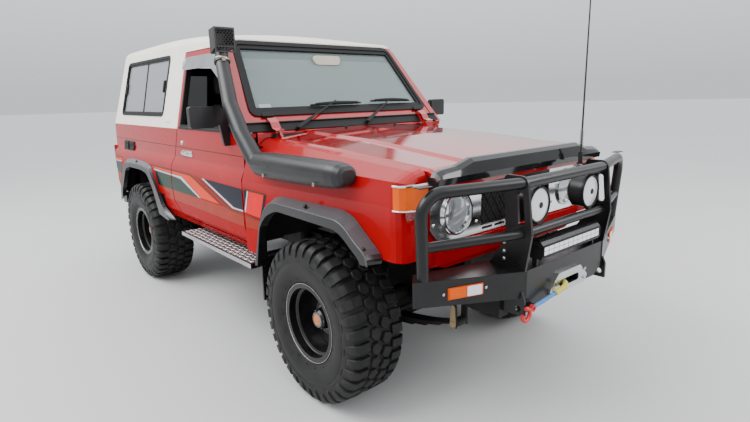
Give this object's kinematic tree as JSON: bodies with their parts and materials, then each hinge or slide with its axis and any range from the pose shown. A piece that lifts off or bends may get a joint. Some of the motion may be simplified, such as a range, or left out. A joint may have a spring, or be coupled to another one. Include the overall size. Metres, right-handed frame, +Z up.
{
  "type": "lifted off-road 4x4",
  "caption": "Lifted short-wheelbase off-road 4x4 with a moulded hard top, bull bar, winch, snorkel, wide wheels, opening doors and bonnet, and front steering.",
  "frame": {"origin": "on the ground under the middle of the vehicle's length and width", "axes": "+X forward, +Y to the vehicle's left, +Z up"},
  "size_m": [4.5925, 2.11, 2.42],
  "materials": {
    "body_paint": "gloss red enamel",
    "top_paint": "gloss warm white on moulded fibreglass",
    "chassis_black": "satin black underbody paint",
    "bar_black": "satin black powder coat",
    "rim_black": "satin black steel wheel",
    "cast_grey": "bare casting",
    "bare_steel": "worn steel",
    "alloy": "cast alloy",
    "bright": "chrome plate",
    "tyre_rubber": "tread rubber",
    "flare_plastic": "grained black moulding",
    "duct_plastic": "moulded black duct",
    "smoked_plastic": "smoked acrylic",
    "amber_lens": "orange lens",
    "red_lens": "red lens",
    "clear_lens": "fluted clear lens",
    "lamp_black": "black lamp shell",
    "tinted_glass": "tinted window glass",
    "seat_cloth": "dark woven cloth",
    "cabin_plastic": "grained cabin moulding",
    "rope_blue": "braided synthetic rope",
    "hook_red": "red painted forging"
  },
  "bodies": {
    "vehicle": {"frame": "chassis_black", "axle_front": "chassis_black", "axle_rear": "chassis_black", "suspension": "chassis_black", "drivetrain": "cast_grey", "fuel_tank": "chassis_black", "exhaust": "bare_steel", "floor": "body_paint", "body_sides": "body_paint", "front_panels": "body_paint", "windscreen_frame": "body_paint", "body_glass": "tinted_glass", "hard_top": "top_paint", "grille": "bright", "headlamps": "clear_lens", "indicator_lamps": "amber_lens", "driving_lamps": "lamp_black", "tail_lamps": "red_lens", "bumper": "bar_black", "bull_bar": "bar_black", "winch": "alloy", "winch_rope": "rope_blue", "winch_hook": "hook_red", "snorkel": "duct_plastic", "antenna": "chassis_black", "side_steps": "bare_steel", "wheel_flares": "flare_plastic", "rear_bar": "chassis_black", "seats": "seat_cloth", "dashboard": "cabin_plastic"},
    "door_right": {"door_right": "body_paint", "mirror_right": "flare_plastic"},
    "door_left": {"door_left": "body_paint", "door_glass_left": "tinted_glass", "mirror_left": "flare_plastic"},
    "bonnet": {"bonnet": "body_paint", "bonnet_protector": "smoked_plastic"},
    "rear_door_right": {"rear_door_right": "body_paint", "rear_glass_right": "tinted_glass", "spare_tyre": "tyre_rubber", "spare_rim": "rim_black"},
    "rear_door_left": {"rear_door_left": "body_paint", "rear_glass_left": "tinted_glass"},
    "knuckle_right": {"knuckle_right": "chassis_black"},
    "knuckle_left": {"knuckle_left": "chassis_black"},
    "tie_rod": {"tie_rod": "chassis_black"},
    "steering_wheel": {"steering_wheel": "cabin_plastic"},
    "wheel_front_right": {"tyre_front_right": "tyre_rubber", "rim_front_right": "rim_black"},
    "wheel_front_left": {"tyre_front_left": "tyre_rubber", "rim_front_left": "rim_black"},
    "wheel_rear_right": {"tyre_rear_right": "tyre_rubber", "rim_rear_right": "rim_black"},
    "wheel_rear_left": {"tyre_rear_left": "tyre_rubber", "rim_rear_left": "rim_black"}
  },
  "joints": [
    {"name": "steer_right", "type": "hinge", "parent": "vehicle", "child": "knuckle_right", "pos_m": [1.3595, -0.606, 0.419], "axis": [0, 0, 1], "range_deg": [-26, 26]},
    {"name": "steer_left", "type": "hinge", "parent": "vehicle", "child": "knuckle_left", "pos_m": [1.3595, 0.606, 0.419], "axis": [0, 0, 1], "range_deg": [-26, 26]},
    {"name": "tie_rod_swing", "type": "hinge", "parent": "knuckle_right", "child": "tie_rod", "pos_m": [1.5645, -0.556, 0.419], "axis": [0, 0, 1], "range_deg": [-28.5, 28.5]},
    {"name": "steering_wheel_turn", "type": "hinge", "parent": "vehicle", "child": "steering_wheel", "pos_m": [0.3245, -0.38, 1.262], "axis": [-0.8829, 0, 0.4695], "range_deg": [-420, 420]},
    {"name": "door_right_hinge", "type": "hinge", "parent": "vehicle", "child": "door_right", "pos_m": [0.6945, -0.8475, 0.95], "axis": [0, 0, 1], "range_deg": [0, 70]},
    {"name": "door_left_hinge", "type": "hinge", "parent": "vehicle", "child": "door_left", "pos_m": [0.6945, 0.8475, 0.95], "axis": [0, 0, -1], "range_deg": [0, 70]},
    {"name": "bonnet_hinge", "type": "hinge", "parent": "vehicle", "child": "bonnet", "pos_m": [0.6775, 0, 1.404], "axis": [0, -1, 0], "range_deg": [0, 60]},
    {"name": "rear_door_right_hinge", "type": "hinge", "parent": "vehicle", "child": "rear_door_right", "pos_m": [-1.9505, -0.726, 1.045], "axis": [0, 0, 1], "range_deg": [0, 95]},
    {"name": "rear_door_left_hinge", "type": "hinge", "parent": "vehicle", "child": "rear_door_left", "pos_m": [-1.9505, 0.726, 1.045], "axis": [0, 0, -1], "range_deg": [0, 95]},
    {"name": "wheel_front_right_spin", "type": "hinge", "parent": "knuckle_right", "child": "wheel_front_right", "pos_m": [1.3595, -0.74, 0.419], "axis": [0, 1, 0], "continuous": true},
    {"name": "wheel_front_left_spin", "type": "hinge", "parent": "knuckle_left", "child": "wheel_front_left", "pos_m": [1.3595, 0.74, 0.419], "axis": [0, 1, 0], "continuous": true},
    {"name": "wheel_rear_right_spin", "type": "hinge", "parent": "vehicle", "child": "wheel_rear_right", "pos_m": [-1.2405, -0.74, 0.419], "axis": [0, 1, 0], "continuous": true},
    {"name": "wheel_rear_left_spin", "type": "hinge", "parent": "vehicle", "child": "wheel_rear_left", "pos_m": [-1.2405, 0.74, 0.419], "axis": [0, 1, 0], "continuous": true}
  ],
  "couplings": [
    {"joint": "steer_left", "follows": "steer_right", "ratio": 1},
    {"joint": "tie_rod_swing", "follows": "steer_right", "ratio": -1.086},
    {"joint": "steering_wheel_turn", "follows": "steer_right", "ratio": 16}
  ]
}
